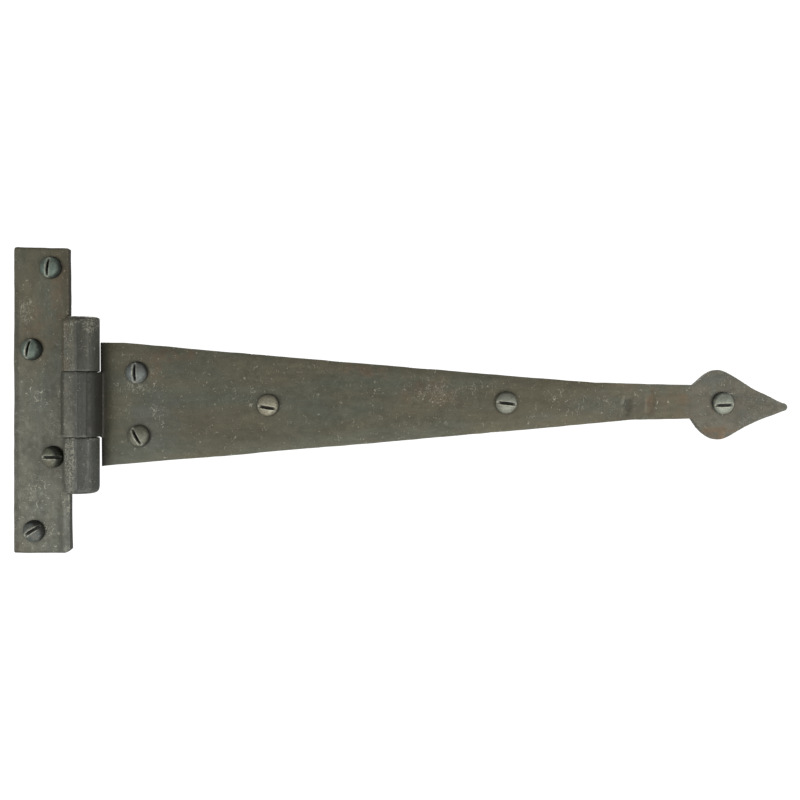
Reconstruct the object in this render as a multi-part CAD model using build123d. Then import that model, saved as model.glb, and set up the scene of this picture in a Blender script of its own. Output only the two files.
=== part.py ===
from build123d import *
import os
from math import cos, radians, sin

# A forged strap hinge (T hinge), in millimetres.
# +X runs along the arm, +Z up along the hinge pin, and the fronts of the plates face -Y.
# Both plates lie with their backs in the plane Y = 0. The origin is the centre of the frame plate's back face.

# Plates
PLATE_THICKNESS = 4.0
FRAME_WIDTH = 24.2
FRAME_HEIGHT = 133.6
FRAME_BEVEL_WIDE = 1.4
FRAME_BEVEL_DEEP = 0.5

# Barrel: the plates are rolled round the pin, so its outside follows from the pin and the plate
PIN_RADIUS = 4.0
PIN_X = 18.55
PIN_EDGE_BREAK = 0.5
BARREL_RADIUS = PIN_RADIUS + PLATE_THICKNESS
ARM_KNUCKLE_RADIUS = BARREL_RADIUS + 0.4
PIN_Y = -BARREL_RADIUS
BARREL_TOP = 35.8
BARREL_BOTTOM = -39.9
ARM_KNUCKLE_TOP = 12.0
ARM_KNUCKLE_BOTTOM = -15.7
KNUCKLE_GAP = 0.4
RUNNING_CLEARANCE = 0.05
ROLL_DEGREES = 297.0
BARREL_END_ROUNDING = 0.9
KNUCKLE_RELIEF = 8.2

# Arm: (X from the pin, Z) where its long edges turn, from the wide end to the neck
ARM_START = 7.25
TOP_EDGE = [(ARM_START, 25.2), (17.5, 25.2), (222.0, 7.9), (264.9, 6.7)]
BOTTOM_EDGE = [(ARM_START, -28.9), (240.0, -8.7), (264.1, -8.4)]
ARM_EDGE_BREAK = 0.3

# Arrow head: X from the pin and half the width above the neck, and at its shoulder, cheek, waist and near its tip
HEAD_CENTRE = 274.5
HEAD_Z = -2.0
HEAD_HALF_WIDTH = 15.3
HEAD_RISE = (267.2, 10.75)
HEAD_SHOULDER = (269.8, 13.1)
HEAD_CHEEK = (282.0, 12.8)
HEAD_WAIST = (291.6, 7.3)
HEAD_POINT = (297.8, 4.6)
TIP_X = 305.6
TIP_Z = -3.1
TIP_HALF_WIDTH = 1.8

# Screws: No. 10 by 3/4 inch, slotted round head, for wood
SCREW_LENGTH = 19.05
HEAD_RADIUS = 4.8
HEAD_HEIGHT = 3.8
HEAD_SIDE = 1.2
HEAD_CORNER = 0.8
SLOT_WIDTH = 1.2
SLOT_DEPTH = 2.2
SHANK_RADIUS = 2.4
SHANK_LENGTH = 6.4
THREAD_RADIUS = 2.2
POINT_LENGTH = 4.0
POINT_RADIUS = 0.3
HOLE_RADIUS = 2.75

# Each screw's place on its plate (X, Z) and the slope of its slot in degrees, seen from the front
FRAME_SCREWS = [
    (4.1, 57.6, 83.0),
    (-4.3, 22.1, 78.0),
    (4.9, -24.6, 0.0),
    (-3.2, -56.8, 32.0),
]
ARM_SCREWS = [
    (PIN_X + 22.8, 12.0, 91.0),
    (PIN_X + 23.8, -15.5, -61.0),
    (PIN_X + 80.0, -2.2, -10.0),
    (PIN_X + 183.5, -1.1, -7.0),
    (PIN_X + 277.6, -1.3, 2.0),
]


def rolled_eye(bottom, top, bore_radius, outer_radius, turn, round_bottom=False, round_top=False):
    """The curled part of a knuckle. turn is 1 if its plate comes from -X, or -1 if it comes from +X."""

    def point(radius, degrees):
        angle = radians(degrees)
        return PIN_X + turn * radius * sin(angle), PIN_Y + radius * cos(angle)

    outer = ThreePointArc(*[point(outer_radius, share * ROLL_DEGREES) for share in (0, 0.5, 1)])
    inner = ThreePointArc(*[point(bore_radius, share * ROLL_DEGREES) for share in (0, 0.5, 1)])
    section = make_face([outer, Line(outer @ 1, inner @ 1), inner, Line(inner @ 0, outer @ 0)])
    curl = extrude(Pos(0, 0, bottom) * section, top - bottom)
    height = top - bottom
    envelope = Pos(PIN_X, PIN_Y, (top + bottom) / 2) * Cylinder(outer_radius + 0.001, height)
    rims = envelope.edges().filter_by(GeomType.CIRCLE).sort_by(Axis.Z)
    worn = ([rims[0]] if round_bottom else []) + ([rims[-1]] if round_top else [])
    if worn:
        envelope = fillet(worn, BARREL_END_ROUNDING)
    return curl & envelope


def leaf_to_pin(bottom, top, from_x, bore_radius):
    """The flat stretch of plate from from_x to the pin's axis, as thick as the plate less what the bore takes."""
    thickness = BARREL_RADIUS - bore_radius
    low_x, high_x = sorted((from_x, PIN_X))
    return Pos((low_x + high_x) / 2, -thickness / 2, (top + bottom) / 2) * Box(
        high_x - low_x, thickness, top - bottom
    )


def screw_holes(screws):
    """The clearance holes through a plate."""
    return [
        Pos(x, -PLATE_THICKNESS / 2, z) * Rot(90, 0, 0) * Cylinder(HOLE_RADIUS, 2 * PLATE_THICKNESS)
        for x, z, _ in screws
    ]


def frame_plate():
    """The upright plate, with an outer knuckle rolled at each end of the barrel."""
    plate = Pos(0, -PLATE_THICKNESS / 2, 0) * Box(FRAME_WIDTH, PLATE_THICKNESS, FRAME_HEIGHT)
    front = plate.faces().sort_by(Axis.Y)[0]
    long_edges = front.edges().filter_by(Axis.Z)
    plate = chamfer(long_edges, FRAME_BEVEL_WIDE, FRAME_BEVEL_DEEP, reference=front)
    relief_bottom = ARM_KNUCKLE_BOTTOM - KNUCKLE_GAP
    relief_top = ARM_KNUCKLE_TOP + KNUCKLE_GAP
    relief = Pos(PIN_X, 0, (relief_top + relief_bottom) / 2) * Box(
        2 * KNUCKLE_RELIEF, 4 * PLATE_THICKNESS, relief_top - relief_bottom
    )
    plate = plate - relief
    knuckles = [
        (relief_top, BARREL_TOP, False, True),
        (BARREL_BOTTOM, relief_bottom, True, False),
    ]
    leaf_start = FRAME_WIDTH / 2 - FRAME_BEVEL_WIDE - 1
    for bottom, top, round_bottom, round_top in knuckles:
        plate = plate + leaf_to_pin(bottom, top, leaf_start, PIN_RADIUS)
        plate = plate + rolled_eye(bottom, top, PIN_RADIUS, BARREL_RADIUS, 1, round_bottom, round_top)
    return plate - screw_holes(FRAME_SCREWS)


def arm_outline():
    """The strap's outline: two long tapers into a short neck, and a spear-shaped head with a blunt tip."""

    def at(x, z):
        return PIN_X + x, z

    def head_side(sign, neck):
        """One side of the arrow head, from the neck to the tip. sign is 1 for the top and -1 for the bottom."""
        points = [neck]
        widest = HEAD_CENTRE, HEAD_HALF_WIDTH
        for x, half_width in [HEAD_RISE, HEAD_SHOULDER, widest, HEAD_CHEEK, HEAD_WAIST, HEAD_POINT]:
            droop = (TIP_Z - HEAD_Z) * (max(x - HEAD_CENTRE, 0) / (TIP_X - HEAD_CENTRE)) ** 2
            points.append(at(x, HEAD_Z + droop + sign * half_width))
        points.append(at(TIP_X - TIP_HALF_WIDTH, TIP_Z + sign * TIP_HALF_WIDTH))
        rise = points[1][0] - neck[0], points[1][1] - neck[1]
        return Spline(*points, tangents=[rise, (1, -sign * 0.4)])

    top = Polyline(*[at(*place) for place in TOP_EDGE])
    bottom = Polyline(*[at(*place) for place in BOTTOM_EDGE])
    head_top = head_side(1, at(*TOP_EDGE[-1]))
    head_bottom = head_side(-1, at(*BOTTOM_EDGE[-1]))
    tip = ThreePointArc(head_top @ 1, at(TIP_X, TIP_Z), head_bottom @ 1)
    end = Line(bottom @ 0, top @ 0)
    return make_face([end, *top.edges(), head_top, tip, head_bottom, *bottom.edges()])


def arm():
    """The strap, with the middle knuckle rolled from its wide end."""
    strap = extrude(Plane.XZ * arm_outline(), PLATE_THICKNESS)
    front = strap.faces().sort_by(Axis.Y)[0]
    end_x = PIN_X + ARM_START
    strap = chamfer([edge for edge in front.edges() if edge.center().X > end_x + 1], ARM_EDGE_BREAK)
    bore_radius = PIN_RADIUS + RUNNING_CLEARANCE
    knuckle_ends = ARM_KNUCKLE_BOTTOM, ARM_KNUCKLE_TOP
    strap = strap + leaf_to_pin(*knuckle_ends, end_x + 1, bore_radius)
    # The middle knuckle is rolled a little looser than the others, and is flat where it would stand behind the plates
    behind = Pos(PIN_X, BARREL_RADIUS, 0) * Box(4 * BARREL_RADIUS, 2 * BARREL_RADIUS, FRAME_HEIGHT)
    strap = strap + (rolled_eye(*knuckle_ends, bore_radius, ARM_KNUCKLE_RADIUS, -1) - behind)
    return strap - screw_holes(ARM_SCREWS)


def hinge_pin():
    """A straight pin, as long as the barrel, with its ends dressed round."""
    length = BARREL_TOP - BARREL_BOTTOM
    pin = Pos(PIN_X, PIN_Y, (BARREL_TOP + BARREL_BOTTOM) / 2) * Cylinder(PIN_RADIUS, length)
    return fillet(pin.edges().filter_by(GeomType.CIRCLE), PIN_EDGE_BREAK)


def screw(x, z, slot_degrees):
    """A slotted round-head wood screw. The threaded length is a plain cylinder as wide as the thread's crests."""
    rise = HEAD_HEIGHT - HEAD_SIDE
    dome_radius = (HEAD_RADIUS**2 + rise**2) / (2 * rise)
    middle = HEAD_RADIUS / 2
    dome_side = middle, HEAD_HEIGHT - dome_radius + (dome_radius**2 - middle**2) ** 0.5
    thread_end = SCREW_LENGTH - POINT_LENGTH
    profile = make_face(
        [
            ThreePointArc((0, HEAD_HEIGHT), dome_side, (HEAD_RADIUS, HEAD_SIDE)),
            *Polyline(
                (HEAD_RADIUS, HEAD_SIDE),
                (HEAD_RADIUS, 0),
                (SHANK_RADIUS, 0),
                (SHANK_RADIUS, -SHANK_LENGTH),
                (THREAD_RADIUS, -SHANK_LENGTH - 0.4),
                (THREAD_RADIUS, -thread_end),
                (POINT_RADIUS, -SCREW_LENGTH),
                (0, -SCREW_LENGTH),
                (0, HEAD_HEIGHT),
            ).edges(),
        ]
    )
    corner = profile.vertices().sort_by_distance((HEAD_RADIUS, HEAD_SIDE, 0))[0]
    turned = revolve(Plane.XZ * fillet(corner, HEAD_CORNER), Axis.Z)
    slot = Pos(0, 0, HEAD_HEIGHT) * Box(3 * HEAD_RADIUS, SLOT_WIDTH, 2 * SLOT_DEPTH)
    turned = turned - Rot(0, 0, slot_degrees) * slot
    return Pos(x, -PLATE_THICKNESS, z) * Rot(90, 0, 0) * turned


def write(name, piece):
    piece.label = name
    export_step(piece, os.path.join("parts", name + ".step"))


os.makedirs("parts", exist_ok=True)
write("frame_plate", frame_plate())
write("arm", arm())
write("hinge_pin", hinge_pin())
for number, place in enumerate(FRAME_SCREWS, 1):
    write(f"frame_screw_{number}", screw(*place))
for number, place in enumerate(ARM_SCREWS, 1):
    write(f"arm_screw_{number}", screw(*place))
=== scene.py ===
"""A forged strap hinge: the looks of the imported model, in metres, in the model's own frame."""

import itertools
import math

import bpy
import numpy as np
from mathutils import Matrix, Vector
from mathutils.bvhtree import BVHTree


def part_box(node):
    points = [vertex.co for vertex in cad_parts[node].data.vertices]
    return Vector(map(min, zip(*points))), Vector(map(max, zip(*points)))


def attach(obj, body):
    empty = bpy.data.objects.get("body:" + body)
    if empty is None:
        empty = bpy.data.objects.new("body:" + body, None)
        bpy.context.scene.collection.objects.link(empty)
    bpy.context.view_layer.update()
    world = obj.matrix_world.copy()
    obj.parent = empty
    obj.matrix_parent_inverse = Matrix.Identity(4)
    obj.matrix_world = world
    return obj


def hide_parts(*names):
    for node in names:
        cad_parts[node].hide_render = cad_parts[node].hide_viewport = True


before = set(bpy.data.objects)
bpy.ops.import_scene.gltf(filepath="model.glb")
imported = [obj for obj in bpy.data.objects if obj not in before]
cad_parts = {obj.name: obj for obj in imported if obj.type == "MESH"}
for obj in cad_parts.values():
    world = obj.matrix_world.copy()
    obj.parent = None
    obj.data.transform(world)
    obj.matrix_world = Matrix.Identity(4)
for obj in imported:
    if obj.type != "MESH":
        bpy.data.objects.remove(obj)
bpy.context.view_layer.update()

MM = 0.001

# Sizes of the model, in millimetres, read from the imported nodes
ARM_LOW, ARM_HIGH = (np.array(corner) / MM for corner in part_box("arm"))
PLATE_LOW, PLATE_HIGH = (np.array(corner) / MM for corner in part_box("frame_plate"))
PIN_LOW, PIN_HIGH = (np.array(corner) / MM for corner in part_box("hinge_pin"))
PIN_X, PIN_Y = (PIN_LOW + PIN_HIGH)[:2] / 2
PIN_RADIUS = (PIN_HIGH - PIN_LOW)[0] / 2
BARREL_RADIUS = -PIN_Y
ARM_KNUCKLE_RADIUS = PIN_Y - ARM_LOW[1]
THICKNESS = BARREL_RADIUS - PIN_RADIUS
BARREL_BOTTOM, BARREL_TOP = PIN_LOW[2], PIN_HIGH[2]
PLATE_HALF_WIDTH = -PLATE_LOW[0]
PLATE_HALF_HEIGHT = PLATE_HIGH[2]

# Places that the boxes of the nodes don't give
ARM_KNUCKLE_BOTTOM, ARM_KNUCKLE_TOP = -15.7, 12.0
KNUCKLE_GAP = 0.4
UPPER_KNUCKLE_BOTTOM = ARM_KNUCKLE_TOP + KNUCKLE_GAP
LOWER_KNUCKLE_TOP = ARM_KNUCKLE_BOTTOM - KNUCKLE_GAP
ARM_START = PIN_X + 7.25
NECK = PIN_X + 236
HEAD_OF_ARROW = PIN_X + 262

# The two ends of each long edge of the strap, as (x, z)
TOP_TAPER = (PIN_X + 17.5, ARM_HIGH[2]), (PIN_X + 222.0, 7.9)
BOTTOM_TAPER = (ARM_START, ARM_LOW[2]), (PIN_X + 240.0, -8.7)

# Sizes of the screws, in millimetres
HEAD_RADIUS = 4.8
HEAD_HEIGHT = 3.8
HEAD_SIDE = 1.2
SLOT_HALF_WIDTH = 0.78
SLOT_FOOT = 0.46
SLOT_DEPTH = 2.2
SHANK_RADIUS = 2.4
SHANK_LENGTH = 6.4
CREST_RADIUS = 2.2
ROOT_RADIUS = 1.55
THREAD_PITCH = 1.95
POINT_LENGTH = 4.0
POINT_SHY = 0.15
HEAD_SUNK = 0.08
FIRST_SCREW_SEED = 301

# Each screw's slot, tint, tilt, how far off its middle the slot was cut, and the painted shadow on its head:
# the direction it lies in and how far in from that edge it reaches. Angles are in degrees.
SCREWS = {
    "frame_screw_1": (83, "green", 1.0, 0.6, -25, 1.2),
    "frame_screw_2": (78, "green", -1.0, 0.8, -15, 1.7),
    "frame_screw_3": (0, "loden", 1.2, 0.0, 20, 2.9),
    "frame_screw_4": (32, "dusk", 0.8, 0.3, 45, 2.0),
    "arm_screw_1": (91, "blue", -1.0, 0.3, 50, 0.6),
    "arm_screw_2": (-61, "moss", 1.0, -0.6, -40, 0.5),
    "arm_screw_3": (-10, "sand", 1.2, -1.0, -20, 0.5),
    "arm_screw_4": (-7, "pewter", -0.8, -0.3, 0, 0.2),
    "arm_screw_5": (2, "mist", 1.0, -0.8, 160, 0.5),
}

# How the even meshes are made: the size of their faces, and how they are smoothed
ARM_VOXEL = 0.54
PLATE_VOXEL = 0.42
RELAX_ROUNDS = 3
RELAX_PULL = 0.5
RELAX_SWELL = -0.52

# The walls of a plate: how far off its wall a point may lie, and how far the faces and points of a wall may
# turn to the front, as the part of the normal along Y
WALL_REACH = 0.8
WALL_FACE = 0.1
WALL_POINT = 0.87

# The widest of the flats along the barrel: where it lies, how deep it is, and how much of the metal beyond it
# the hammer took away
FLAT_DEGREES = -19
FLAT_DEPTH = 0.68
FLAT_SHARE = 0.9

# How far in and how far along the ends of the knuckles are worn round, at the left and at the right
LIGHT_WEAR = (0.2, 0.4), (0.05, 0.2)
TOP_WEAR = (1.9, 3.0), (0.4, 0.7)
FOOT_WEAR = (1.5, 2.6), (1.7, 3.0)

# How much of the gap between two knuckles each of them takes up
LIP = 0.12
SHARP_DEGREES = 42

# Noise is read away from the origin, and spread to fill -1 to 1
NOISE_SHIFT = 37.7
NOISE_SPREAD = 1.7


# ---------------------------------------------------------------- numbers


def noise(points, size, seed):
    """Smooth noise between about -1 and 1 at the points. The size of its bumps may differ by axis."""
    rng = np.random.default_rng(seed)
    shuffle = rng.permutation(256)
    slopes = rng.normal(size=(256, 3))
    slopes /= np.linalg.norm(slopes, axis=1, keepdims=True)
    spots = points / size + NOISE_SHIFT
    cell = np.floor(spots).astype(int)
    part = spots - cell
    ease = part**3 * (part * (part * 6 - 15) + 10)
    total = np.zeros(len(points))
    for corner in itertools.product((0, 1), repeat=3):
        x, y, z = ((cell + corner) & 255).T
        slope = slopes[shuffle[(shuffle[(shuffle[x] + y) & 255] + z) & 255]]
        share = np.prod(np.where(corner, ease, 1 - ease), axis=1)
        total += share * ((part - corner) * slope).sum(1)
    return total * NOISE_SPREAD


def noise_along(values, size, seed):
    """The same noise along a line."""
    points = np.zeros((len(values), 3))
    points[:, 0] = values
    return noise(points, size, seed)


def step(low, high, values):
    """0 below low, 1 above high, and a smooth rise between them. It falls where low is above high."""
    share = np.clip((values - low) / (high - low), 0, 1)
    return share * share * (3 - 2 * share)


def quarter_round(distance, reach):
    """1 at distance 0, falling along a quarter of an ellipse to 0 at the reach."""
    share = np.clip(distance / reach, 0, 1)
    return 1 - np.sqrt(1 - (1 - share) ** 2)


def blot(points, x, z, half_x, half_z, seed):
    """A patch with a ragged, soft edge: 1 in its middle and 0 outside it."""
    ragged = 0.35 * noise(points, 5.0, seed) + 0.25 * noise(points, 1.8, seed + 1)
    away = np.hypot((points[:, 0] - x) / half_x, (points[:, 2] - z) / half_z)
    return step(1.15, 0.45, away + ragged)


def blots(points, patches):
    """The sum of several patches, each given as its strength and the values that blot takes."""
    total = np.zeros(len(points))
    for strength, *patch in patches:
        total += strength * blot(points, *patch)
    return total


# ---------------------------------------------------------------- meshes


def new_object(name, mesh):
    piece = bpy.data.objects.new(name, mesh)
    bpy.context.scene.collection.objects.link(piece)
    return piece


def read_points(mesh):
    """The mesh's points in millimetres."""
    flat = np.empty(len(mesh.vertices) * 3)
    mesh.vertices.foreach_get("co", flat)
    return flat.reshape(-1, 3) / MM


def read_normals(mesh):
    flat = np.empty(len(mesh.vertices) * 3)
    mesh.vertices.foreach_get("normal", flat)
    return flat.reshape(-1, 3)


def write_points(mesh, points):
    mesh.vertices.foreach_set("co", (points * MM).ravel())
    mesh.update()


def write_marks(mesh, brown, dark, light, cool):
    """Keep how brown, dark, speckled and blue each point of the surface is, for the material to read."""
    marks = mesh.attributes.new("marks", "FLOAT_VECTOR", "POINT")
    marks.data.foreach_set("vector", np.clip(np.column_stack([brown, dark, light]), 0, 1).ravel())
    blueness = mesh.attributes.new("cool", "FLOAT", "POINT")
    blueness.data.foreach_set("value", np.clip(cool, 0, 1))


def even_mesh(node, voxel):
    """A closed mesh of small, even faces with the node's shape."""
    copy = new_object(node + "_even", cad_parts[node].data.copy())
    remesh = copy.modifiers.new("even", "REMESH")
    remesh.mode = "VOXEL"
    remesh.voxel_size = voxel * MM
    shaped = copy.evaluated_get(bpy.context.evaluated_depsgraph_get())
    mesh = bpy.data.meshes.new_from_object(shaped)
    bpy.data.objects.remove(copy)
    mesh.materials.clear()
    mesh.name = node + "_forged"
    return mesh


def relax(points, mesh):
    """Smooth the points and swell them back after each round, so that the piece keeps its size."""
    ends = np.empty(len(mesh.edges) * 2, int)
    mesh.edges.foreach_get("vertices", ends)
    a, b = ends.reshape(-1, 2).T
    count = len(points)
    degree = np.bincount(a, minlength=count) + np.bincount(b, minlength=count)
    for share in (RELAX_PULL, RELAX_SWELL) * RELAX_ROUNDS:
        mean = np.empty_like(points)
        for axis in range(3):
            total = np.bincount(a, points[b, axis], count) + np.bincount(b, points[a, axis], count)
            mean[:, axis] = total / degree
        points = points + share * (mean - points)
    return points


def crisp(mesh, points, node, flat):
    """Press the walls, front and back of a plate onto the node's, up to their edges, where flat is true."""
    write_points(mesh, points)
    facing = read_normals(mesh)[:, 1]
    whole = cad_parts[node].data
    corners = [vertex.co / MM for vertex in whole.vertices]
    walls = [list(face.vertices) for face in whole.polygons if abs(face.normal.y) < WALL_FACE]
    tree = BVHTree.FromPolygons(corners, walls)
    points = points.copy()
    for n in np.flatnonzero(flat & (np.abs(facing) < WALL_POINT)):
        place, _, _, away = tree.find_nearest(points[n])
        if away < WALL_REACH:
            points[n] = place
    front = (facing < -0.5) & (points[:, 1] < 1 - THICKNESS)
    back = (facing > 0.5) & (points[:, 1] > -1)
    points[flat & front, 1] = -THICKNESS
    points[flat & back, 1] = 0
    return points


def lip(points, end, move):
    """Bring the end of a knuckle closer to its neighbour, so that less light shows between them."""
    radius, _ = from_pin(points)
    points = points.copy()
    at_end = np.abs(points[:, 2] - end) < 0.5
    off_bore = (radius > PIN_RADIUS + 0.4) & (radius < ARM_KNUCKLE_RADIUS + 0.8)
    points[at_end & off_bore, 2] += move
    return points


def finish_piece(mesh, name, node, body, material):
    """Make the mesh a piece that stands for the CAD node and rides with its body."""
    mesh.polygons.foreach_set("use_smooth", np.ones(len(mesh.polygons), bool))
    mesh.set_sharp_from_angle(angle=math.radians(SHARP_DEGREES))
    mesh.materials.append(material)
    piece = new_object(name, mesh)
    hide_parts(node)
    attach(piece, body)
    return piece


# ---------------------------------------------------------------- forged plates


def from_pin(points):
    """Each point's distance from the pin's axis, and its angle: 0 at the front, rising to the right."""
    x, y = points[:, 0] - PIN_X, points[:, 1] - PIN_Y
    return np.hypot(x, y), np.degrees(np.arctan2(x, -y))


def hammered(points, seed):
    """How far the hammer left each point above or below true, in millimetres."""
    broad = 0.13 * noise(points, 19, seed)
    middle = 0.06 * noise(points, 8, seed + 1)
    small = 0.022 * noise(points, 3.2, seed + 2)
    pits = -0.1 * step(0.55, 0.95, noise(points, 2.2, seed + 3))
    return broad + middle + small + pits


def front_share(points):
    """0 on the flat back of a plate, rising to 1 at its front."""
    return np.clip(-points[:, 1] / THICKNESS, 0, 1)


def forge(mesh, points, seed, strength):
    """Move each point along its normal as the hammer left it, and keep the back flat."""
    write_points(mesh, points)
    normals = read_normals(mesh)
    back = (points[:, 1] > -0.3) & (normals[:, 1] > 0.7)
    depth = strength * hammered(points, seed)
    depth[back] *= 0.15
    points = points + normals * depth[:, None]
    points[:, 1] = np.minimum(points[:, 1], 0)
    return points


def roll(points, bottom, top, outer, left, right, bottom_wear, top_wear, seed):
    """Shape the outside of one knuckle, and leave its bore alone.

    outer is its radius, and left and right are how much wider than the barrel it stands on each side. Each
    wear is how far in and how far along an end is worn round, at the left and at the right.
    """
    radius, angle = from_pin(points)
    z = points[:, 2]
    outside = step(PIN_RADIUS + 0.8, outer - 0.6, radius) * step(outer + 1.2, outer + 0.5, radius)
    held = outside * step(-0.6, -3.5, points[:, 1]) * ((z > bottom - 0.3) & (z < top + 0.3))

    # Hammered flats run along the barrel. The widest is at the front left, with a crease at its right.
    swell = BARREL_RADIUS - outer + left * step(0, -60, angle) + right * step(20, 80, angle)
    swell += 0.08 * noise(points, (3.4, 3.4, 60), seed) + 0.04 * noise(points, (1.6, 1.6, 14), seed + 1)
    lie = angle - FLAT_DEGREES + 3 * noise_along(z, 18, seed + 3)
    beyond = radius - (outer - FLAT_DEPTH) / np.maximum(np.cos(np.radians(lie)), 0.3)
    swell -= FLAT_SHARE * np.maximum(beyond, 0)
    swell -= 0.2 * step(24, 34, lie) * step(62, 44, lie)
    to_left = step(70, -30, angle)
    uneven = 1 + 0.2 * noise_along(angle, 40, seed + 2)
    for wear, distance in ((bottom_wear, z - bottom), (top_wear, top - z)):
        left_wear, right_wear = (np.array(pair) for pair in wear)
        deep, reach = (right_wear[:, None] + (left_wear - right_wear)[:, None] * to_left) * uneven
        swell -= deep * quarter_round(distance, reach)
    new_radius = radius + swell * held
    grow = (new_radius / radius)[:, None]
    points = points.copy()
    points[:, :2] = (PIN_X, PIN_Y) + (points[:, :2] - (PIN_X, PIN_Y)) * grow
    return points


def arm_edges(x):
    """The height of the arm's top and bottom edges along the tapers."""
    return [np.interp(x, *zip(*taper)) for taper in (TOP_TAPER, BOTTOM_TAPER)]


def arm_drop(points, beside):
    """How far the front of the strap is hammered down."""
    x, _, z = points.T
    top, bottom = arm_edges(x)

    # Both long edges have a broad, shallow bevel that comes and goes
    wide_top = 3.2 + 1.2 * noise_along(x, 40, 11)
    wide_bottom = 7.0 + 1.8 * noise_along(x, 33, 12)
    deep_top = 0.3 + 0.16 * noise_along(x, 26, 13)
    deep_bottom = 0.7 + 0.2 * noise_along(x, 29, 14)
    drop = deep_top * np.clip(1 - (top - z) / wide_top, 0, 1) ** 1.4
    drop += deep_bottom * np.clip(1 - (z - bottom) / wide_bottom, 0, 1) ** 1.7
    drop *= step(NECK, NECK - 20, x) * step(PIN_X + 6, PIN_X + 12, x)

    # The wide end is worn round above and below the knuckle, and the neck has two dents
    drop += 0.3 * quarter_round(x - ARM_START, 1.6) * (x > ARM_START - 1) * beside
    drop += 0.28 * blot(points, NECK, -1.4, 2.6, 4.2, 61)
    drop += 0.2 * blot(points, NECK + 10, -1.0, 2.2, 5.5, 63)
    return drop


def arm_outline(x, z, beside):
    """Move the strap's edges to where the hammer left them: none is quite straight, and all are drawn in."""
    upper = step(-6, 6, z)
    high = -0.2 + 0.14 * noise_along(x, 27, 15) + 0.1 * noise_along(x, 7, 16)
    low = 0.2 + 0.14 * noise_along(x, 31, 17) + 0.1 * noise_along(x, 6, 18)
    z = z + step(ARM_START - 1, ARM_START + 1, x) * (upper * high + (1 - upper) * low)

    # The strap lies low along its middle, and so does the upper edge of its tip
    z = z - 0.18 * step(PIN_X + 45, PIN_X + 65, x) * step(PIN_X + 225, PIN_X + 200, x)
    z = z - 0.3 * upper * step(PIN_X + 286, PIN_X + 294, x)

    # The wide end leans towards the barrel at its top, and away from it at its foot
    x = x + (0.6 * step(24, -28, z) - 0.3) * step(ARM_START + 3, ARM_START, x) * beside
    return x, z


def forged_arm():
    mesh = even_mesh("arm", ARM_VOXEL)
    points = relax(read_points(mesh), mesh)
    past_knuckle = (points[:, 2] > ARM_KNUCKLE_TOP + 1) | (points[:, 2] < ARM_KNUCKLE_BOTTOM - 1)
    past_barrel = points[:, 0] > PIN_X + BARREL_RADIUS + 1
    points = crisp(mesh, points, "arm", past_knuckle | past_barrel)
    x, y, z = points.T
    free = step(BARREL_RADIUS + 0.5, BARREL_RADIUS + 12, x - PIN_X)
    beside = step(ARM_KNUCKLE_TOP, ARM_KNUCKLE_TOP + 1, z)
    beside += step(ARM_KNUCKLE_BOTTOM, ARM_KNUCKLE_BOTTOM - 1, z)
    y = y + arm_drop(points, beside) * front_share(points)
    x, z = arm_outline(x, z, beside)
    points = roll(
        np.column_stack([x, y, z]),
        bottom=ARM_KNUCKLE_BOTTOM,
        top=ARM_KNUCKLE_TOP,
        outer=ARM_KNUCKLE_RADIUS,
        left=0.4,
        right=0.35,
        bottom_wear=LIGHT_WEAR,
        top_wear=LIGHT_WEAR,
        seed=70,
    )
    points = lip(lip(points, ARM_KNUCKLE_TOP, LIP), ARM_KNUCKLE_BOTTOM, -LIP)
    points = np.clip(forge(mesh, points, 20, 0.25 + 0.75 * free), ARM_LOW, ARM_HIGH)
    write_points(mesh, points)
    write_marks(mesh, *arm_marks(points, read_normals(mesh)))
    return finish_piece(mesh, "forged_arm", "arm", "arm", ARM_STEEL)


def screw_axis(node):
    """The place of a screw's axis, as x and z."""
    low, high = (np.array(corner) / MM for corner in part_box(node))
    return (low + high)[[0, 2]] / 2


def wall_share(normals):
    """1 on the walls of a plate, and 0 on its front and back."""
    return step(0.8, 0.4, np.abs(normals[:, 1]))


def contact_shade(points, body):
    """Painted shade round the heads of the screws that ride with the body."""
    total = np.zeros(len(points))
    for node in SCREWS:
        if node.startswith(body):
            x, z = screw_axis(node)
            away = np.hypot(points[:, 0] - x, points[:, 2] - z)
            total += 0.45 * step(HEAD_RADIUS + 1.0, HEAD_RADIUS - 0.1, away)
    return total


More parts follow.
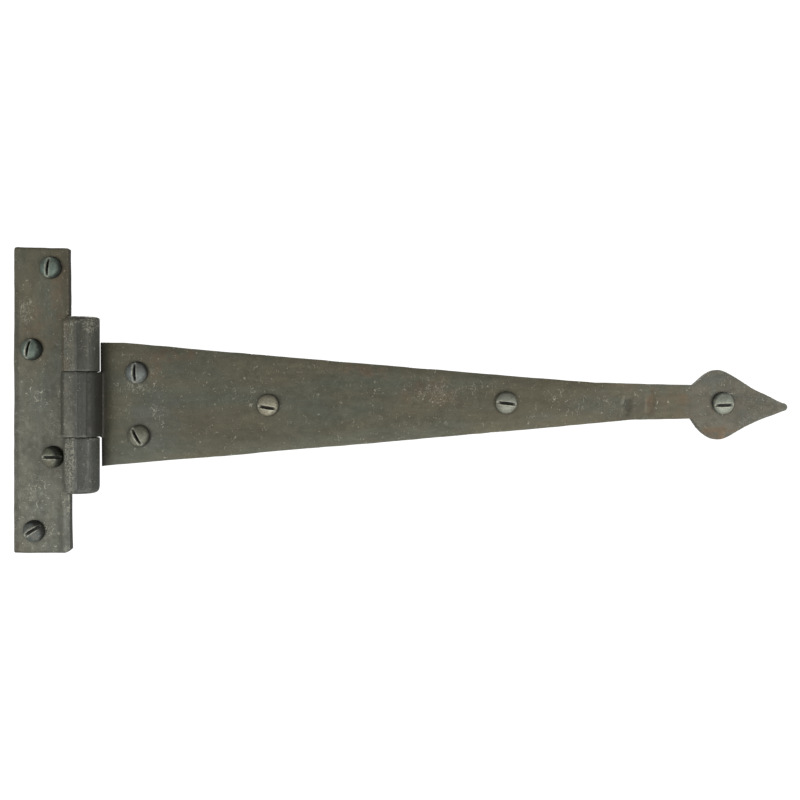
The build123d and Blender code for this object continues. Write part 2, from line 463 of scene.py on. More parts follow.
def arm_marks(points, normals):
    """Where the strap's surface is brown, dark, speckled and blue."""
    x, _, z = points.T
    radius, angle = from_pin(points)
    barrel = step(ARM_KNUCKLE_RADIUS + 0.6, ARM_KNUCKLE_RADIUS + 0.2, radius)
    walls = wall_share(normals)

    rust = [
        (0.7, PIN_X + 39, 19.5, 16, 3.2, 101),
        (0.55, PIN_X + 31, 12, 4, 6, 103),
        (0.6, PIN_X + 122, 13, 12, 4, 105),
        (0.45, PIN_X + 150, 3, 16, 8, 107),
        (0.6, NECK + 10, -1, 2.2, 6.5, 109),
        (0.5, PIN_X + 260, 0.5, 3.5, 4, 111),
        (0.85, PIN_X + 275, -14.5, 9, 3.2, 113),
    ]
    brown = blots(points, rust) + 0.3 * step(PIN_X + 150, PIN_X + 260, x)

    soot = [
        (0.28, PIN_X + 286, -2, 12, 10, 131),
        (0.45, NECK, -1.8, 2.4, 3.2, 61),
        (0.05, PIN_X + 100, 6, 40, 6, 115),
    ]
    # Painted shadow of the barrel across the wide end of the strap
    dark = step(ARM_START + 4.4, ARM_START + 0.2, x) * (x > PIN_X + 4)
    # Soot patches, and painted shade round the screw heads
    dark += blots(points, soot) + contact_shade(points, "arm")
    # Painted shade: the strap grows darker towards the barrel
    dark += 0.12 * step(PIN_X + 100, PIN_X + 60, x)
    # Painted shade on the front of the knuckle
    dark += barrel * (0.13 + 0.3 * step(-40, -5, angle) * (1 - step(20, 45, angle)))

    # The last three are tall smears beside the first two screws
    rubbed = [
        (0.8, PIN_X + 22, 5.5, 12, 4, 117),
        (0.5, PIN_X + 33, -4, 5, 10, 119),
        (0.8, PIN_X + 152, 4, 13, 7, 121),
        (0.7, PIN_X + 176, 6, 9, 4, 123),
        (0.5, PIN_X + 215, -1, 22, 7, 125),
        (0.5, PIN_X + 75, 2, 18, 10, 127),
        (0.6, PIN_X + 28.8, 15, 1.3, 6, 135),
        (0.6, PIN_X + 30.4, -4, 1.3, 5, 137),
        (0.6, PIN_X + 25.5, -1, 1.3, 6, 139),
    ]
    rims = np.minimum(np.abs(z - ARM_KNUCKLE_TOP + 0.3), np.abs(z - ARM_KNUCKLE_BOTTOM - 0.3))
    light = blots(points, rubbed)
    # Painted light on the strap's walls, strongest round the head
    light += walls * (0.3 * (x > ARM_START + 1) + 0.55 * (x > HEAD_OF_ARROW))
    light += barrel * step(0.9, 0.3, rims) * step(-20, -60, angle) + 0.35 * barrel

    # The knuckle is bluer, most at its front: painted reflection
    cool = 0.9 * barrel * (0.6 + 0.4 * step(-12, 2, angle))
    cool += 0.5 * step(HEAD_OF_ARROW - 4, HEAD_OF_ARROW + 4, x)
    cool += 0.5 * blot(points, PIN_X + 30, -10, 12, 14, 129)
    return brown, dark, light, cool


def plate_outline(x, z, beside):
    """Move the frame plate's edges to where the hammer left them."""
    # The long left edge wavers, and the right one spreads towards the bottom
    left = 0.2 + 0.12 * noise_along(z, 26, 31) + 0.08 * noise_along(z, 6, 32)
    spread = -0.15 - 0.4 * z / PLATE_HALF_HEIGHT + 0.12 * noise_along(z, 9, 33)
    shift = left * step(-2, -PLATE_HALF_WIDTH, x) + spread * step(2, 10, x) * beside

    # The top slopes down to the right, and two corners are knocked off
    lean = -0.75 * (x + PLATE_HALF_WIDTH) / (2 * PLATE_HALF_WIDTH) + 0.12 * noise_along(x, 6, 34)
    lean -= 0.35 * step(-11, -12.1, x)
    lift = lean * step(PLATE_HALF_HEIGHT - 9, PLATE_HALF_HEIGHT, z)
    foot = 0.4 + 0.12 * noise_along(x, 7, 35) + 1.5 * step(9.4, 12.4, x) ** 1.3
    lift += foot * step(-PLATE_HALF_HEIGHT + 5, -PLATE_HALF_HEIGHT, z)
    return x + shift, z + lift


def plate_drop(x, z):
    """How far the front of the frame plate is hammered down."""
    # A broad bevel runs down the right below the barrel, and narrow ones along both ends
    right = PLATE_HALF_WIDTH - x
    drop = 0.5 * np.clip(1 - right / 5.0, 0, 1) * step(BARREL_BOTTOM + 2, BARREL_BOTTOM - 6, z)
    drop += 0.5 * quarter_round(PLATE_HALF_HEIGHT + z, 1.9) + 0.4 * quarter_round(PLATE_HALF_HEIGHT - z, 1.5)
    return drop


def forged_frame_plate():
    mesh = even_mesh("frame_plate", PLATE_VOXEL)
    points = relax(read_points(mesh), mesh)
    past_barrel = (points[:, 2] > BARREL_TOP + 1) | (points[:, 2] < BARREL_BOTTOM - 1)
    beyond_barrel = points[:, 0] < PIN_X - BARREL_RADIUS - 1
    points = crisp(mesh, points, "frame_plate", past_barrel | beyond_barrel)
    x, y, z = points.T
    beside = step(BARREL_TOP - 0.5, BARREL_TOP + 0.5, z)
    beside += step(BARREL_BOTTOM + 0.5, BARREL_BOTTOM - 0.5, z)
    flat = step(BARREL_RADIUS + 0.6, BARREL_RADIUS + 2.5, np.hypot(x - PIN_X, y - PIN_Y))
    hammered_share = 0.3 + 0.7 * flat * step(PIN_X, PIN_X - 12, x)
    y = y + plate_drop(x, z) * front_share(points) * flat
    x, z = plate_outline(x, z, beside)
    points = roll(
        np.column_stack([x, y, z]),
        bottom=UPPER_KNUCKLE_BOTTOM,
        top=BARREL_TOP,
        outer=BARREL_RADIUS,
        left=-0.05,
        right=-0.35,
        bottom_wear=LIGHT_WEAR,
        top_wear=TOP_WEAR,
        seed=80,
    )
    points = roll(
        points,
        bottom=BARREL_BOTTOM,
        top=LOWER_KNUCKLE_TOP,
        outer=BARREL_RADIUS,
        left=-0.85,
        right=-0.3,
        bottom_wear=FOOT_WEAR,
        top_wear=LIGHT_WEAR,
        seed=90,
    )
    points = lip(lip(points, UPPER_KNUCKLE_BOTTOM, -LIP), LOWER_KNUCKLE_TOP, LIP)
    points = np.clip(forge(mesh, points, 40, hammered_share), PLATE_LOW, PLATE_HIGH)
    write_points(mesh, points)
    write_marks(mesh, *plate_marks(points, read_normals(mesh)))
    return finish_piece(mesh, "forged_frame_plate", "frame_plate", "frame", PLATE_STEEL)


def plate_marks(points, normals):
    """Where the frame plate's surface is brown, dark, speckled and blue."""
    x, y, z = points.T
    radius, angle = from_pin(points)
    barrel = step(BARREL_RADIUS + 0.8, BARREL_RADIUS + 0.3, radius)
    walls = wall_share(normals)
    # Painted shade in the crease where the plate's front meets the barrel's left side
    crevice_shade = step(2.6, 0.4, np.abs(x - (PIN_X - BARREL_RADIUS))) * step(-6.5, -4.4, y)
    crevice_shade = crevice_shade * (z > BARREL_BOTTOM) * (z < BARREL_TOP)

    brown = blots(points, [(0.5, 7.5, 50, 4, 18, 201), (0.35, 0, 30, 10, 14, 203)])
    brown += 0.5 * barrel * step(-5, -40, angle) * (z > ARM_KNUCKLE_TOP)

    # Painted shade in the crease by the barrel and round the screw heads
    dark = 0.75 * crevice_shade + contact_shade(points, "frame")
    dark += blots(points, [(0.2, 4, 8, 4, 14, 205), (0.25, 0, -25, 10, 12, 221)])

    # Painted shade on the front of the barrel, and on the right-hand side of its upper knuckle
    dark += 0.5 * barrel * step(-10, 4, angle) * (1 - 0.7 * step(25, 50, angle))
    dark += 0.1 * barrel * step(35, 80, angle) * step(-10, 5, z)

    # A band by the plate's left edge, its right edge below the barrel, and its right edge and wall above it
    dark += 0.5 * step(-9.4, -10.4, x) * step(-12.2, -11.7, x) * step(60, 30, z)
    dark += 0.15 * step(6.4, 7.4, x) * step(BARREL_BOTTOM, BARREL_BOTTOM - 4, z)
    dark += 0.25 * step(8, 10, x) * step(38, 42, z)
    dark += 0.35 * walls * step(10, 11, x) * step(BARREL_TOP, BARREL_TOP + 1, z)

    rubbed = [
        (0.85, -7, 39, 4.5, 8, 207),
        (0.8, -2.5, -40, 6, 8, 209),
        (0.7, 4, -55, 3, 5, 211),
        (0.6, -2, 0, 8, 6, 213),
        (0.7, 9.5, -44, 3, 6, 215),
    ]
    barrel_rubbed = [
        (0.45, PIN_X - 2, -28, 5, 12, 217),
        (0.9, PIN_X + 5, BARREL_TOP - 3.5, 3.5, 3.5, 219),
    ]
    light = blots(points, rubbed) + barrel * blots(points, barrel_rubbed)
    # Painted light: the barrel's left side is paler, where the lamp at the left falls
    light += barrel * (0.3 + 0.5 * step(-2, -9, angle))

    # The worn rims at the top of the barrel, and at the top of its lower knuckle
    rim = BARREL_TOP - 0.8 - 2.2 * step(60, -20, angle)
    light += barrel * step(0.9, 0.4, np.abs(z - rim))
    light += barrel * step(1.0, 0.3, np.abs(z - ARM_KNUCKLE_BOTTOM + 1.0)) * step(10, 50, angle)

    # Bluer towards the bottom, and the barrel bluer at its front, the latter as painted reflection
    cool = 0.45 * step(45, -20, z) + 0.5 * barrel * (0.3 + 0.7 * step(-12, 2, angle))
    return brown, dark, light, cool


# ---------------------------------------------------------------- turned pieces


def ring(radius, height, angles):
    """The points of one ring. The radius may be one value or one for each angle."""
    radius = np.broadcast_to(radius, len(angles))
    return np.column_stack([radius * np.cos(angles), radius * np.sin(angles), np.full(len(angles), height)])


def lathe(rows, segments, first=0):
    """Points and faces of rings stacked along Z, closed at the last. first is the first point's number."""
    angles = np.arange(segments) * 2 * math.pi / segments
    points = np.concatenate([ring(radius, height, angles) for height, radius in rows])
    faces = []
    for row in range(len(rows) - 1):
        low, high = first + row * segments, first + (row + 1) * segments
        for n in range(segments):
            m = (n + 1) % segments
            faces.append((low + n, low + m, high + m, high + n))
    last = first + (len(rows) - 1) * segments
    faces.append(tuple(range(last, last + segments)))
    return points, faces


def dressed_pin():
    """The hinge pin, a little loose in its bore, with its ends hammered round."""
    segments = 48
    rounding = 0.9
    inner_radius = 0.3
    half = (BARREL_TOP - BARREL_BOTTOM) / 2
    end_rows = []
    for share in np.linspace(0, 1, 7):
        height = rounding * quarter_round(share, 1) - half
        end_rows.append((height, inner_radius + (PIN_RADIUS - inner_radius) * share))
    straight = [(height, PIN_RADIUS) for height in np.linspace(-half + 1.5, half - 1.5, 30)]
    other_end = [(-height, radius) for height, radius in reversed(end_rows)]
    points, faces = lathe(end_rows + straight + other_end, segments)
    faces.append(tuple(reversed(range(segments))))
    points[:, :2] *= 0.985
    points += [PIN_X, PIN_Y, (BARREL_TOP + BARREL_BOTTOM) / 2]
    points[:, 2] += 0.1 * noise(points, 1.8, 51)
    mesh = bpy.data.meshes.new("dressed_pin")
    mesh.from_pydata((points * MM).tolist(), [], faces)
    return finish_piece(mesh, "dressed_pin", "hinge_pin", "frame", PIN_STEEL)


# ---------------------------------------------------------------- screws


def dome_height(away):
    """The height of a head's top at a distance from its axis: a low dome, well rounded into a steep side."""
    rise = HEAD_HEIGHT - HEAD_SIDE
    dome_radius = (HEAD_RADIUS**2 + rise**2) / (2 * rise)
    dome = HEAD_HEIGHT - dome_radius + np.sqrt(dome_radius**2 - np.minimum(away, HEAD_RADIUS) ** 2)
    side_reach = 1.1
    inside = np.clip((HEAD_RADIUS - away) / side_reach, 0, 1)
    return dome * np.sqrt(1 - (1 - inside) ** 2) ** 0.8


def head_grid(off_centre):
    """A round head as a grid of heights, with rows along the slot.

    The slot is a little wider at the top than at the foot, and lies off the head's middle. Returns the
    points, the faces, and the rim's points in order round the head.
    """
    floor = HEAD_HEIGHT - SLOT_DEPTH
    wall = SLOT_DEPTH / (SLOT_HALF_WIDTH - SLOT_FOOT)

    # The rows lie close together at the walls of the slot, and further apart towards the rim
    near = [0.15, *np.linspace(SLOT_FOOT - 0.02, SLOT_HALF_WIDTH + 0.06, 10)]
    near += [SLOT_HALF_WIDTH + 0.16, SLOT_HALF_WIDTH + 0.3]
    outer = np.sin(np.linspace(-1, 1, 46) * math.pi / 2) * HEAD_RADIUS * 0.999
    rows = [across for across in outer if abs(across + off_centre) > SLOT_HALF_WIDTH + 0.45]
    rows += [side * distance - off_centre for distance in near for side in (1, -1)]
    rows.sort(reverse=True)
    columns = np.sin(np.linspace(-1, 1, 45) * math.pi / 2)

    points = []
    for across in rows:
        half = math.sqrt(max(HEAD_RADIUS**2 - across**2, 0))
        along = columns * half
        dome = dome_height(np.hypot(along, across))
        side = floor + max(abs(across + off_centre) - SLOT_FOOT, 0) * wall
        # The cut's edge is worn round where it leaves the dome
        worn = 0.12 * np.exp(-np.maximum(side - dome, 0) / 0.9)
        height = np.minimum(dome - worn, max(side, floor))
        points.append(np.column_stack([along, np.full(len(along), -across), height]))

    wide, count = len(columns), len(rows)
    faces = []
    for row in range(count - 1):
        for n in range(wide - 1):
            a = row * wide + n
            faces.append((a, a + wide, a + wide + 1, a + 1))
    top_row = list(range(wide))[::-1]
    left = [row * wide for row in range(1, count - 1)]
    bottom_row = [(count - 1) * wide + n for n in range(wide)]
    right = [row * wide + wide - 1 for row in range(count - 2, 0, -1)]
    return np.concatenate(points), faces, top_row + left + bottom_row + right


def zip_rings(points, outer, inner):
    """Triangles between two rings of points that both run anticlockwise from above, and start anywhere."""
    turns = []
    for loop in (outer, inner):
        angles = np.arctan2(points[loop, 1], points[loop, 0])
        first = int(np.argmin(angles))
        loop = loop[first:] + loop[:first]
        angles = np.roll(angles, -first)
        turns.append((loop + loop[:1], np.append(angles, angles[0] + 2 * math.pi)))
    (out_loop, out_angles), (in_loop, in_angles) = turns
    faces = []
    a = b = 0
    while a < len(out_loop) - 1 or b < len(in_loop) - 1:
        in_done = b == len(in_loop) - 1
        out_left = a < len(out_loop) - 1
        if in_done or (out_left and out_angles[a + 1] <= in_angles[b + 1]):
            faces.append((out_loop[a], in_loop[b], out_loop[a + 1]))
            a += 1
        else:
            faces.append((out_loop[a], in_loop[b], in_loop[b + 1]))
            b += 1
    return faces


def shank_rows(length, angles):
    """Rings down the plain shank and the right-handed thread to the gimlet point."""
    spacing = 0.15
    ridge_share = 0.24
    run_in_length = 1.2
    rows = [(-0.1, SHANK_RADIUS), (-SHANK_LENGTH, SHANK_RADIUS)]
    for depth in np.arange(SHANK_LENGTH + spacing, length, spacing):
        phase = (depth / THREAD_PITCH + angles / (2 * math.pi)) % 1
        ridge = np.clip(1 - np.abs(phase - 0.5) / ridge_share, 0, 1)
        run_in = float(step(SHANK_LENGTH, SHANK_LENGTH + run_in_length, depth))
        root = SHANK_RADIUS + run_in * (ROOT_RADIUS - SHANK_RADIUS)
        slim = float(np.clip((length - depth) / POINT_LENGTH, 0, 1)) ** 0.8
        core = root * slim
        crest = min(CREST_RADIUS, CREST_RADIUS * (0.16 + slim))
        rows.append((-depth, np.maximum(core + (crest - core) * ridge, 0.08)))
    rows.append((-length + 0.02, 0.05))
    return rows


def add_shank(head, faces, rim, length):
    """Give a head a flat underside, a shank and a thread. The new faces go on the list."""
    segments = 40
    angles = np.arange(segments) * 2 * math.pi / segments
    under = head[rim] * [0.97, 0.97, 0] + [0, 0, -0.12]
    count = len(rim)
    first = len(head)
    under_rim = list(range(first, first + count))
    for n in range(count):
        m = (n + 1) % count
        faces.append((rim[n], under_rim[n], under_rim[m], rim[m]))
    shank, shank_faces = lathe(shank_rows(length, angles), segments, first + count)
    points = np.concatenate([head, under, shank])
    top_of_shank = list(range(first + count, first + count + segments))
    faces += [tuple(reversed(face)) for face in shank_faces]
    faces += zip_rings(points, under_rim, top_of_shank)
    return points


def edge_wear_and_highlight(head, off_centre, slot_angle):
    """How bright the slot's two edges are: worn bare, with painted highlight. The lower left one is painted
    the brightest, as if lit from the low left.
    """
    from_middle = head[:, 1] - off_centre
    from_slot = np.abs(from_middle) - SLOT_HALF_WIDTH
    lit_side = np.sign(math.sin(slot_angle) - 0.7 * math.cos(slot_angle))
    wear = np.where(from_middle * lit_side > 0, 1.2, 0.4)
    return wear * step(0.5, 0.1, from_slot) * step(-0.1, 0.0, from_slot)


def screw_marks(points, on_head, bare_and_lit_edges, shade_direction, shade_reach, seed):
    """Painted shade low in the slot and round the foot of the head, painted shadow at one side, and bare
    metal with painted highlight on the slot's edges and here and there.
    """
    sunk = np.where(on_head, dome_height(np.hypot(points[:, 0], points[:, 1])) - points[:, 2], 0)
    # Painted shade deep in the slot and round the foot of the head
    dark = step(0.7, 1.7, sunk) + 0.45 * step(1.3, 0.3, points[:, 2]) * on_head
    # Painted highlight on the slot's upper walls, which are also worn
    light = step(0.02, 0.1, sunk) * step(1.2, 0.6, sunk)
    light[: len(bare_and_lit_edges)] += bare_and_lit_edges
    # Painted shadow: a dark crescent at one side of the head, outside a disc moved away from that side
    towards = math.radians(shade_direction)
    unshaded_middle = -shade_reach * np.array([math.cos(towards), math.sin(towards)])
    beyond = np.hypot(*(points[:, :2] - unshaded_middle).T) - HEAD_RADIUS + 0.25
    dark += 0.85 * step(-0.4, 0.9, beyond + 0.25 * noise(points + 20 * seed, 1.6, seed)) * on_head
    light *= step(0.9, 0.3, dark) * 0.5 + 0.5
    brown = 0.5 * step(0.1, 0.6, noise(points + 50 * seed, 3.0, seed))
    return brown, dark, light, np.zeros(len(points))


def screw(node, seed):
    """One slotted round-head wood screw, a little out of square with its plate."""
    slot_degrees, tint, tilt_degrees, off_centre, shade_direction, shade_reach = SCREWS[node]
    slot_angle = math.radians(slot_degrees)
    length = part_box(node)[1][1] / MM + THICKNESS - POINT_SHY
    head, faces, rim = head_grid(off_centre)
    bare_and_lit_edges = edge_wear_and_highlight(head, off_centre, slot_angle)
    head = head @ np.array(Matrix.Rotation(slot_angle, 3, "Z")).T
    points = add_shank(head, faces, rim, length)
    on_head = points[:, 2] > 0.02
    marks = screw_marks(points, on_head, bare_and_lit_edges, shade_direction, shade_reach, seed)

    # Nicks and dents in the head, then the tilt and the way into the model's frame
    dents = 0.09 * noise(points, 2.2, seed) + 0.05 * noise(points, 0.9, seed + 1)
    points[:, 2] += dents * on_head
    axis = Vector((math.cos(seed), math.sin(seed), 0))
    points = points @ np.array(Matrix.Rotation(math.radians(tilt_degrees), 3, axis)).T
    centre_x, centre_z = screw_axis(node)
    x, y, z = points.T
    placed = np.column_stack([x + centre_x, -z - THICKNESS + HEAD_SUNK, y + centre_z])
    mesh = bpy.data.meshes.new(node + "_turned")
    mesh.from_pydata((placed * MM).tolist(), [], faces)
    write_marks(mesh, *marks)
    body = node.split("_")[0]
    return finish_piece(mesh, node + "_turned", node, body, SCREW_STEELS[tint])


# ---------------------------------------------------------------- materials


class Shade:
    """A material under construction, with short ways to add its nodes. Sizes are in millimetres."""

    def __init__(self, name):
        self.material = bpy.data.materials.new(name)
        self.material.use_nodes = True
        self.tree = self.material.node_tree
        self.shader = self.tree.nodes["Principled BSDF"]
        coordinates = self.add("ShaderNodeTexCoord").outputs["Object"]
        scaled = self.add("ShaderNodeVectorMath", {0: coordinates, "Scale": 1 / MM}, operation="SCALE")
        self.place = scaled.outputs[0]

    def add(self, kind, inputs=None, **settings):
        node = self.tree.nodes.new(kind)
        for key, value in settings.items():
            setattr(node, key, value)
        for key, value in (inputs or {}).items():
            self.join(value, node.inputs[key])
        return node

    def join(self, value, socket):
        """Link the value to the socket if it is one itself, or else set it there."""
        if isinstance(value, bpy.types.NodeSocket):
            self.tree.links.new(value, socket)
        else:
            socket.default_value = value

    def noise(self, size, seed, detail=3.0, roughness=0.5):
        """Noise from 0 to 1. The size may be one value or one for each axis."""
        scale = 1 / np.broadcast_to(np.array(size, float), 3)
        moved = self.add(
            "ShaderNodeVectorMath",
            {0: self.place, 1: tuple(scale), 2: (seed * 7.3, seed * 3.1, seed * 5.7)},
            operation="MULTIPLY_ADD",
        )
        node = self.add(
            "ShaderNodeTexNoise",
            {"Vector": moved.outputs[0], "Scale": 1.0, "Detail": detail, "Roughness": roughness},
        )
        return node.outputs[0]

    def ramp(self, value, low, high, start=0.0, end=1.0):
        """start below low, end above high, and a smooth change between them."""
        node = self.add(
            "ShaderNodeMapRange",
            {"Value": value, "From Min": low, "From Max": high, "To Min": start, "To Max": end},
            interpolation_type="SMOOTHSTEP",
        )
        return node.outputs[0]

    def math(self, operation, a, b):
        return self.add("ShaderNodeMath", {0: a, 1: b}, operation=operation).outputs[0]

    def blend(self, share, first, second, mode="MIX"):
        """The first colour, taken towards the second by the share."""
        inputs = {0: share, 6: first, 7: second}
        return self.add("ShaderNodeMix", inputs, data_type="RGBA", blend_type=mode).outputs[2]

    def marks(self):
        """The brown, dark, light and cool marks that the mesh carries."""
        carried = self.add("ShaderNodeAttribute", attribute_name="marks").outputs["Vector"]
        cool = self.add("ShaderNodeAttribute", attribute_name="cool").outputs["Fac"]
        return *self.add("ShaderNodeSeparateXYZ", {0: carried}).outputs, cool

    def grey(self, value):
        """A value as a colour."""
        return self.add("ShaderNodeCombineColor", {0: value, 1: value, 2: value}).outputs[0]

    def bump(self, layers):
        """A normal from layers of (height, depth in millimetres)."""
        normal = None
        for height, depth in layers:
            inputs = {"Height": height, "Distance": depth * MM}
            if normal:
                inputs["Normal"] = normal
            normal = self.add("ShaderNodeBump", inputs).outputs[0]
        self.join(normal, self.shader.inputs["Normal"])


# Colours of the waxed steel, of the rust, dirt and bare metal on it, and of painted shade and highlights
OLIVE = (0.128, 0.12, 0.08, 1)
SLATE = (0.115, 0.119, 0.089, 1)
COOL = (0.116, 0.122, 0.11, 1)
BROWN = (0.155, 0.115, 0.073, 1)
SOOT_AND_SHADE = (0.03, 0.028, 0.022, 1)
SHADE_BLACK = (0.012, 0.012, 0.01, 1)
PALE = (0.52, 0.5, 0.4, 1)
WORN_AND_LIT = (0.46, 0.46, 0.38, 1)
SCREW_TINTS = {
    "green": (0.13, 0.17, 0.14, 1),
    "blue": (0.155, 0.17, 0.16, 1),
    "dusk": (0.1, 0.111, 0.1, 1),
    "pewter": (0.26, 0.268, 0.217, 1),
    "loden": (0.135, 0.137, 0.1, 1),
    "moss": (0.165, 0.165, 0.125, 1),
    "sand": (0.3, 0.28, 0.205, 1),
    "mist": (0.31, 0.335, 0.275, 1),
}


def forged_steel(name, drawn):
    """Waxed black iron: olive and slate patches, a little rust, and clusters of pale specks and scratches.

    drawn is how far the hammer drew the patches out along each axis.
    """
    shade = Shade(name)
    drawn = np.array(drawn)
    brown, dark, light, cool = shade.marks()
    colour = shade.blend(shade.ramp(shade.noise(12 * drawn, 1), 0.4, 0.68), OLIVE, SLATE)
    colour = shade.blend(cool, colour, COOL)
    rust = shade.ramp(shade.noise(6 * drawn, 2, 5, 0.6), 0.54, 0.8, 0, 0.35)
    marked = shade.math("MULTIPLY", brown, shade.ramp(shade.noise(4, 3, 4), 0.3, 0.6))
    rust = shade.math("MAXIMUM", rust, marked)
    colour = shade.blend(rust, colour, BROWN)

    # Mottling at three scales
    for size, seed, depth in ((5.0 * drawn, 4, 0.09), (1.4 * drawn, 5, 0.07), (0.6, 6, 0.09)):
        value = shade.ramp(shade.noise(size, seed, 4, 0.62), 0.3, 0.7, 1 - depth, 1 + depth)
        colour = shade.blend(1.0, colour, shade.grey(value), "MULTIPLY")

    # Pale flecks, fine crooked scratches and bare patches, in clusters
    cluster = shade.math("ADD", shade.ramp(shade.noise(7, 7, 4), 0.52, 0.68, 0.0, 0.5), light)
    crowd = shade.math("MULTIPLY", cluster, 0.09)
    speck = shade.ramp(shade.math("ADD", shade.noise(0.55, 8, 1, 0.5), crowd), 0.76, 0.8)
    colour = shade.blend(shade.math("MULTIPLY", speck, 0.62), colour, PALE)
    bent = shade.math("ABSOLUTE", shade.math("SUBTRACT", shade.noise(2.4, 9, 1), 0.5), 0)
    short = shade.math("ADD", shade.noise(1.6, 10, 1), crowd)
    scratch = shade.math("MULTIPLY", shade.ramp(bent, 0.022, 0.008), shade.ramp(short, 0.64, 0.68))
    colour = shade.blend(shade.math("MULTIPLY", scratch, 0.5), colour, PALE)
    straight = shade.ramp(shade.math("ADD", shade.noise((0.3, 0.3, 3.2), 15, 1.5), crowd), 0.74, 0.77)
    colour = shade.blend(shade.math("MULTIPLY", straight, 0.4), colour, PALE)
    # Bare patches follow the light marks, which include painted light on walls and on the barrel's left side
    rubbed = shade.ramp(light, 0.7, 1.0, 0, 0.42)
    bare = shade.math("MULTIPLY", rubbed, shade.ramp(shade.noise(0.8, 16, 4), 0.46, 0.6))
    colour = shade.blend(bare, colour, PALE)
    pits = shade.ramp(shade.noise(1.1, 11, 2), 0.68, 0.78)
    colour = shade.blend(shade.math("MULTIPLY", pits, 0.35), colour, SOOT_AND_SHADE)
    # Dark marks, painted shade among them, take the colour towards near black
    colour = shade.blend(shade.math("MULTIPLY", dark, 0.8), colour, SOOT_AND_SHADE)
    shade.join(colour, shade.shader.inputs["Base Color"])
    shade.shader.inputs["Metallic"].default_value = 0.5
    grain = shade.noise(0.5, 12, 4, 0.65)
    rough = shade.ramp(shade.noise(3.0, 13, 4), 0.3, 0.7, 0.42, 0.6)
    shade.join(rough, shade.shader.inputs["Roughness"])
    shade.bump([(shade.noise(2.6, 14, 3), 0.08), (grain, 0.03), (speck, 0.03)])
    return shade.material


def turned_steel(name, colour):
    """Waxed steel of a screw or the pin. Painted shade lies low in the slot, and its edges are worn bare and
    carry painted highlight.
    """
    shade = Shade(name)
    brown, dark, light, _ = shade.marks()
    base = shade.blend(shade.math("MULTIPLY", brown, 0.35), colour, BROWN)
    for size, seed, depth in ((2.2, 21, 0.14), (0.6, 22, 0.22)):
        value = shade.ramp(shade.noise(size, seed, 4, 0.6), 0.3, 0.7, 1 - depth, 1 + depth)
        base = shade.blend(1.0, base, shade.grey(value), "MULTIPLY")
    patchy = shade.ramp(shade.noise(1.4, 23, 3), 0.38, 0.56, 0.3, 1.0)
    bare = shade.math("MULTIPLY", light, patchy)
    # Light marks: bare metal, and painted highlight on the slot's edges
    base = shade.blend(shade.math("MULTIPLY", bare, 0.85), base, WORN_AND_LIT)
    scratch = shade.ramp(shade.noise((0.2, 0.2, 2.4), 24, 1.5), 0.64, 0.74, 0, 0.3)
    base = shade.blend(scratch, base, WORN_AND_LIT)
    # Painted shade in the slot, round the foot of the head and at one side
    base = shade.blend(shade.math("MULTIPLY", dark, 0.95), base, SHADE_BLACK)
    shade.join(base, shade.shader.inputs["Base Color"])
    shade.shader.inputs["Metallic"].default_value = 0.35
    rough = shade.ramp(shade.noise(1.8, 25, 4), 0.3, 0.7, 0.5, 0.66)
    shade.join(rough, shade.shader.inputs["Roughness"])
    shade.bump([(shade.noise(0.9, 26, 4), 0.05)])
    return shade.material


ARM_STEEL = forged_steel("waxed_forged_strap", (3.0, 1.0, 1.0))
PLATE_STEEL = forged_steel("waxed_forged_plate", (1.0, 1.0, 2.6))
PIN_STEEL = turned_steel("dressed_pin_steel", (0.13, 0.125, 0.105, 1))
SCREW_STEELS = {tint: turned_steel("screw_steel_" + tint, colour) for tint, colour in SCREW_TINTS.items()}

forged_arm()
forged_frame_plate()
dressed_pin()
for screw_seed, screw_node in enumerate(SCREWS, FIRST_SCREW_SEED):
    screw(screw_node, screw_seed)


# ---------------------------------------------------------------- studio

# The camera's distance, place and width of view, and the floor's height, in millimetres
VIEW_DISTANCE = 430.0
VIEW_X = 155.8
VIEW_Z = 0.1
VIEW_WIDTH = 351.0
SENSOR_WIDTH = 36.0
CLIP_START = 10.0
FLOOR_Z = -520.0

# The strength of the even light, and of the white that the camera sees instead of the room
WORLD_LIGHT = 0.26
WHITE_STRENGTH = 1.1

# Each soft box's name, place and width, in metres, and its power in watts
LIGHTS = [
    ("left_box", (-0.3, -0.42, -0.14), 0.25, 1.25),
    ("right_box", (0.6, -0.42, -0.14), 0.25, 1.5),
    ("low_box", (0.2, -0.35, -0.4), 0.3, 1.1),
    ("rear_box", (0.02, 0.4, 0.6), 0.3, 2.8),
]


def camera():
    data = bpy.data.cameras.new("camera")
    data.sensor_width = SENSOR_WIDTH
    data.lens = SENSOR_WIDTH * VIEW_DISTANCE / VIEW_WIDTH
    data.clip_start = CLIP_START * MM
    eye = new_object("camera", data)
    eye.location = Vector((VIEW_X, -VIEW_DISTANCE, VIEW_Z)) * MM
    eye.rotation_euler = (math.radians(90), 0, 0)
    bpy.context.scene.camera = eye


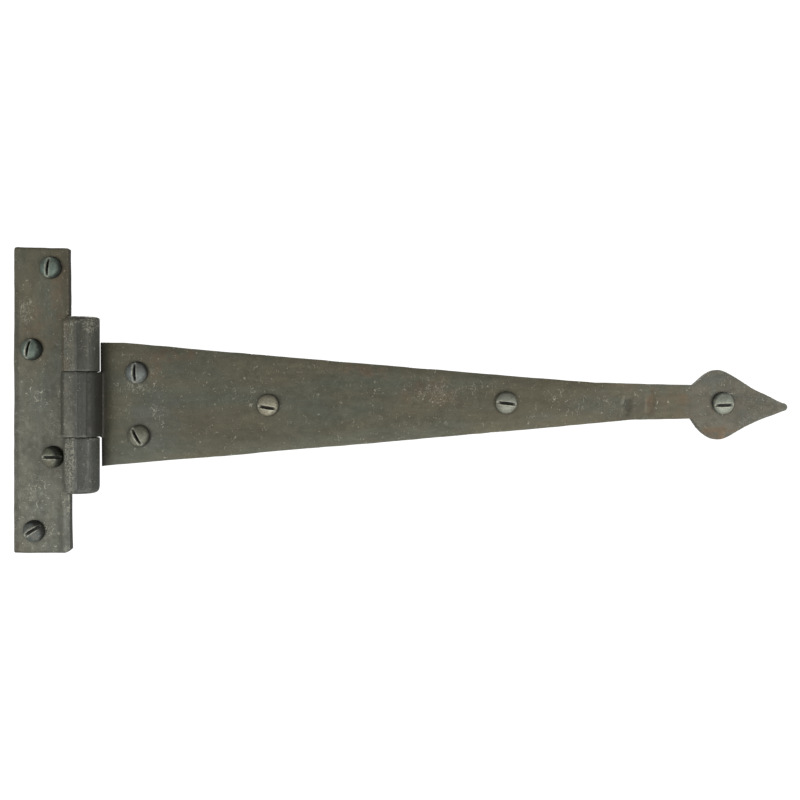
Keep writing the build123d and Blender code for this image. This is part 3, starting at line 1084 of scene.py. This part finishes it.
def seen_white(tree, light, output):
    """Show plain white to the camera, and leave the surface's own light as it is everywhere else."""
    white = tree.nodes.new("ShaderNodeBackground" if output == "World Output" else "ShaderNodeEmission")
    white.inputs["Color"].default_value = (1, 1, 1, 1)
    white.inputs["Strength"].default_value = WHITE_STRENGTH
    rays = tree.nodes.new("ShaderNodeLightPath")
    mix = tree.nodes.new("ShaderNodeMixShader")
    tree.links.new(rays.outputs["Is Camera Ray"], mix.inputs[0])
    tree.links.new(light, mix.inputs[1])
    tree.links.new(white.outputs[0], mix.inputs[2])
    tree.links.new(mix.outputs[0], tree.nodes[output].inputs["Surface"])


def backdrop():
    """A pale room: an even grey light from all round, and a plain pale floor well below the hinge."""
    world = bpy.data.worlds.new("studio")
    world.use_nodes = True
    background = world.node_tree.nodes["Background"]
    background.inputs["Color"].default_value = (WORLD_LIGHT, WORLD_LIGHT, WORLD_LIGHT, 1)
    seen_white(world.node_tree, background.outputs[0], "World Output")
    bpy.context.scene.world = world
    bpy.context.scene.view_settings.view_transform = "Standard"

    paper = bpy.data.materials.new("floor_paper")
    paper.use_nodes = True
    shader = paper.node_tree.nodes["Principled BSDF"]
    shader.inputs["Base Color"].default_value = (0.9, 0.9, 0.88, 1)
    shader.inputs["Roughness"].default_value = 0.9
    seen_white(paper.node_tree, shader.outputs[0], "Material Output")
    corners = [(-2, -2), (2, -2), (2, 2), (-2, 2)]
    mesh = bpy.data.meshes.new("floor")
    mesh.from_pydata([(x, y, FLOOR_Z * MM) for x, y in corners], [], [(0, 1, 2, 3)])
    mesh.materials.append(paper)
    floor = new_object("floor", mesh)


def soft_light(name, place, size, power):
    """A square soft box that faces the hinge."""
    data = bpy.data.lights.new(name, "AREA")
    data.shape = "SQUARE"
    data.size = size
    data.energy = power
    light = new_object(name, data)
    light.location = place
    aim = Vector((VIEW_X * MM, 0, 0)) - Vector(place)
    light.rotation_euler = aim.to_track_quat("-Z", "Y").to_euler()


camera()
backdrop()
for name, place, size, power in LIGHTS:
    soft_light(name, place, size, power)
